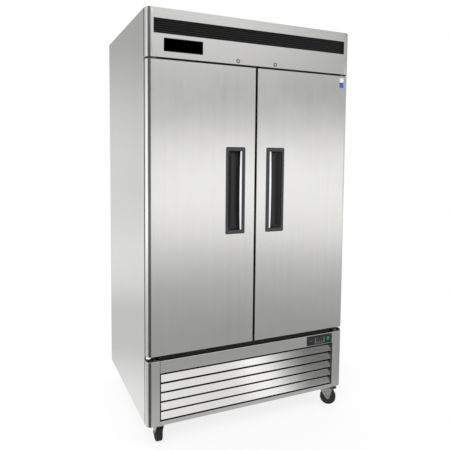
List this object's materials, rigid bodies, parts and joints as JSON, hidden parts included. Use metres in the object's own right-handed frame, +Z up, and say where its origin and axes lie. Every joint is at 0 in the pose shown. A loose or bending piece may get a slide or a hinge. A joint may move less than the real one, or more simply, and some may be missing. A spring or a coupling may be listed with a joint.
{
  "type": "reach-in refrigerator",
  "caption": "Upright stainless-steel reach-in refrigerator with side-hinged solid doors, pocket handles, wire shelves and a bottom-mounted condensing unit on swivel casters.",
  "frame": {"origin": "on the floor, under the middle of the cabinet", "axes": "+Z up, the doors face -Y, +X to the right of someone facing the doors"},
  "size_m": [1.14, 0.8774, 2.1],
  "materials": {
    "stainless": "brushed number 4 stainless steel, grain along the long side",
    "outer_galvanised": "galvanised sheet, dull spangle",
    "foam": "foamed-in-place polyurethane",
    "liner_metal": "satin aluminium liner",
    "liner_plastic": "white moulded inner door panel",
    "black_plastic": "satin black moulding",
    "plate": "blank glossy black plate",
    "gasket": "flexible magnetic vinyl gasket",
    "bright_metal": "polished plating",
    "zinc": "zinc-plated pressed steel",
    "tyre": "hard black rubber tread",
    "rocker_green": "translucent green rocker, lit from behind",
    "display": "smoked display window",
    "shelf_epoxy": "epoxy-coated steel wire",
    "pilaster": "slotted aluminium strip with zinc clips",
    "fins": "thin fins on tubes",
    "black_paint": "black enamel",
    "copper": "copper tube",
    "grey_plastic": "grey moulding",
    "lamp": "opal diffuser"
  },
  "bodies": {
    "cabinet": {"side_panels": "stainless", "header_fascia": "stainless", "corner_posts": "stainless", "louvre_panel": "stainless", "control_strip": "stainless", "shell_panels": "outer_galvanised", "rear_grille": "outer_galvanised", "cabinet_foam": "foam", "inner_liner": "liner_metal", "evaporator_cover": "liner_metal", "centre_mullion": "liner_metal", "breaker_frame": "black_plastic", "header_louvre": "black_plastic", "controller_housing": "black_plastic", "name_plate": "plate", "lock_housings": "bright_metal", "hinge_brackets": "zinc", "fasteners": "zinc", "caster_plates": "zinc", "base_frame": "zinc", "controller_display": "display", "wire_shelves": "shelf_epoxy", "shelf_supports": "pilaster", "condenser_coil": "fins", "evaporator_coil": "fins", "compressor": "black_paint", "fan_shroud": "black_paint", "fan_motors": "black_paint", "refrigerant_lines": "copper", "electrical_box": "grey_plastic", "condensate_pan": "grey_plastic", "interior_lamp": "lamp"},
    "door_left": {"door_skin_left": "stainless", "door_core_left": "foam", "door_liner_left": "liner_plastic", "door_gasket_left": "gasket", "door_handle_left": "black_plastic"},
    "lock_left": {"lock_plug_left": "bright_metal"},
    "door_right": {"door_skin_right": "stainless", "door_core_right": "foam", "door_liner_right": "liner_plastic", "door_gasket_right": "gasket", "door_handle_right": "black_plastic"},
    "lock_right": {"lock_plug_right": "bright_metal"},
    "caster_front_left": {"caster_fork_front_left": "zinc"},
    "wheel_front_left": {"caster_wheel_front_left": "tyre"},
    "brake_front_left": {"brake_pedal_front_left": "zinc"},
    "caster_front_right": {"caster_fork_front_right": "zinc"},
    "wheel_front_right": {"caster_wheel_front_right": "tyre"},
    "brake_front_right": {"brake_pedal_front_right": "zinc"},
    "caster_rear_left": {"caster_fork_rear_left": "zinc"},
    "wheel_rear_left": {"caster_wheel_rear_left": "tyre"},
    "caster_rear_right": {"caster_fork_rear_right": "zinc"},
    "wheel_rear_right": {"caster_wheel_rear_right": "tyre"},
    "evaporator_fan_left": {"evaporator_fan_left": "grey_plastic"},
    "evaporator_fan_right": {"evaporator_fan_right": "grey_plastic"},
    "condenser_fan": {"condenser_fan": "black_paint"},
    "power_rocker": {"power_rocker": "rocker_green"},
    "light_rocker": {"light_rocker": "black_plastic"}
  },
  "joints": [
    {"name": "door_left_hinge", "type": "hinge", "parent": "cabinet", "child": "door_left", "pos_m": [-0.556, -0.413, 0.462], "axis": [0, 0, -1], "range_deg": [0, 120], "stiffness_Nm_per_rad": 1.5},
    {"name": "lock_left_turn", "type": "hinge", "parent": "cabinet", "child": "lock_left", "pos_m": [-0.105, -0.435, 1.892], "axis": [0, -1, 0], "range_deg": [0, 90]},
    {"name": "door_right_hinge", "type": "hinge", "parent": "cabinet", "child": "door_right", "pos_m": [0.556, -0.413, 0.462], "axis": [0, 0, 1], "range_deg": [0, 120], "stiffness_Nm_per_rad": 1.5},
    {"name": "lock_right_turn", "type": "hinge", "parent": "cabinet", "child": "lock_right", "pos_m": [0.105, -0.435, 1.892], "axis": [0, 1, 0], "range_deg": [0, 90]},
    {"name": "caster_front_left_swivel", "type": "hinge", "parent": "cabinet", "child": "caster_front_left", "pos_m": [-0.495, -0.38, 0.1], "axis": [0, 0, 1], "continuous": true},
    {"name": "wheel_front_left_roll", "type": "hinge", "parent": "caster_front_left", "child": "wheel_front_left", "pos_m": [-0.49346, -0.35805, 0.044], "axis": [-0.9976, 0.0698, 0], "continuous": true},
    {"name": "brake_front_left_press", "type": "hinge", "parent": "caster_front_left", "child": "brake_front_left", "pos_m": [-0.49235, -0.34209, 0.09], "axis": [-0.9976, 0.0698, 0], "range_deg": [0, 10]},
    {"name": "caster_front_right_swivel", "type": "hinge", "parent": "cabinet", "child": "caster_front_right", "pos_m": [0.495, -0.38, 0.1], "axis": [0, 0, 1], "continuous": true},
    {"name": "wheel_front_right_roll", "type": "hinge", "parent": "caster_front_right", "child": "wheel_front_right", "pos_m": [0.51234, -0.39354, 0.044], "axis": [0.6157, 0.788, 0], "continuous": true},
    {"name": "brake_front_right_press", "type": "hinge", "parent": "caster_front_right", "child": "brake_front_right", "pos_m": [0.52494, -0.4034, 0.09], "axis": [0.6157, 0.788, 0], "range_deg": [0, 10]},
    {"name": "caster_rear_left_swivel", "type": "hinge", "parent": "cabinet", "child": "caster_rear_left", "pos_m": [-0.495, 0.373, 0.1], "axis": [0, 0, 1], "continuous": true},
    {"name": "wheel_rear_left_roll", "type": "hinge", "parent": "caster_rear_left", "child": "wheel_rear_left", "pos_m": [-0.49043, 0.39452, 0.044], "axis": [-0.9781, 0.2079, 0], "continuous": true},
    {"name": "caster_rear_right_swivel", "type": "hinge", "parent": "cabinet", "child": "caster_rear_right", "pos_m": [0.495, 0.373, 0.1], "axis": [0, 0, 1], "continuous": true},
    {"name": "wheel_rear_right_roll", "type": "hinge", "parent": "caster_rear_right", "child": "wheel_rear_right", "pos_m": [0.50666, 0.39166, 0.044], "axis": [-0.848, 0.5299, 0], "continuous": true},
    {"name": "evaporator_fan_left_spin", "type": "hinge", "parent": "cabinet", "child": "evaporator_fan_left", "pos_m": [-0.2, 0.092, 1.9625], "axis": [0, 1, 0], "continuous": true},
    {"name": "evaporator_fan_right_spin", "type": "hinge", "parent": "cabinet", "child": "evaporator_fan_right", "pos_m": [0.2, 0.092, 1.9625], "axis": [0, 1, 0], "continuous": true},
    {"name": "condenser_fan_spin", "type": "hinge", "parent": "cabinet", "child": "condenser_fan", "pos_m": [0.29, -0.228, 0.263], "axis": [0, 1, 0], "continuous": true},
    {"name": "power_rocker_tilt", "type": "hinge", "parent": "cabinet", "child": "power_rocker", "pos_m": [0.4735, -0.429, 0.4065], "axis": [-1, 0, 0], "range_deg": [0, 16]},
    {"name": "light_rocker_tilt", "type": "hinge", "parent": "cabinet", "child": "light_rocker", "pos_m": [0.361, -0.429, 0.4065], "axis": [-1, 0, 0], "range_deg": [0, 16]}
  ]
}
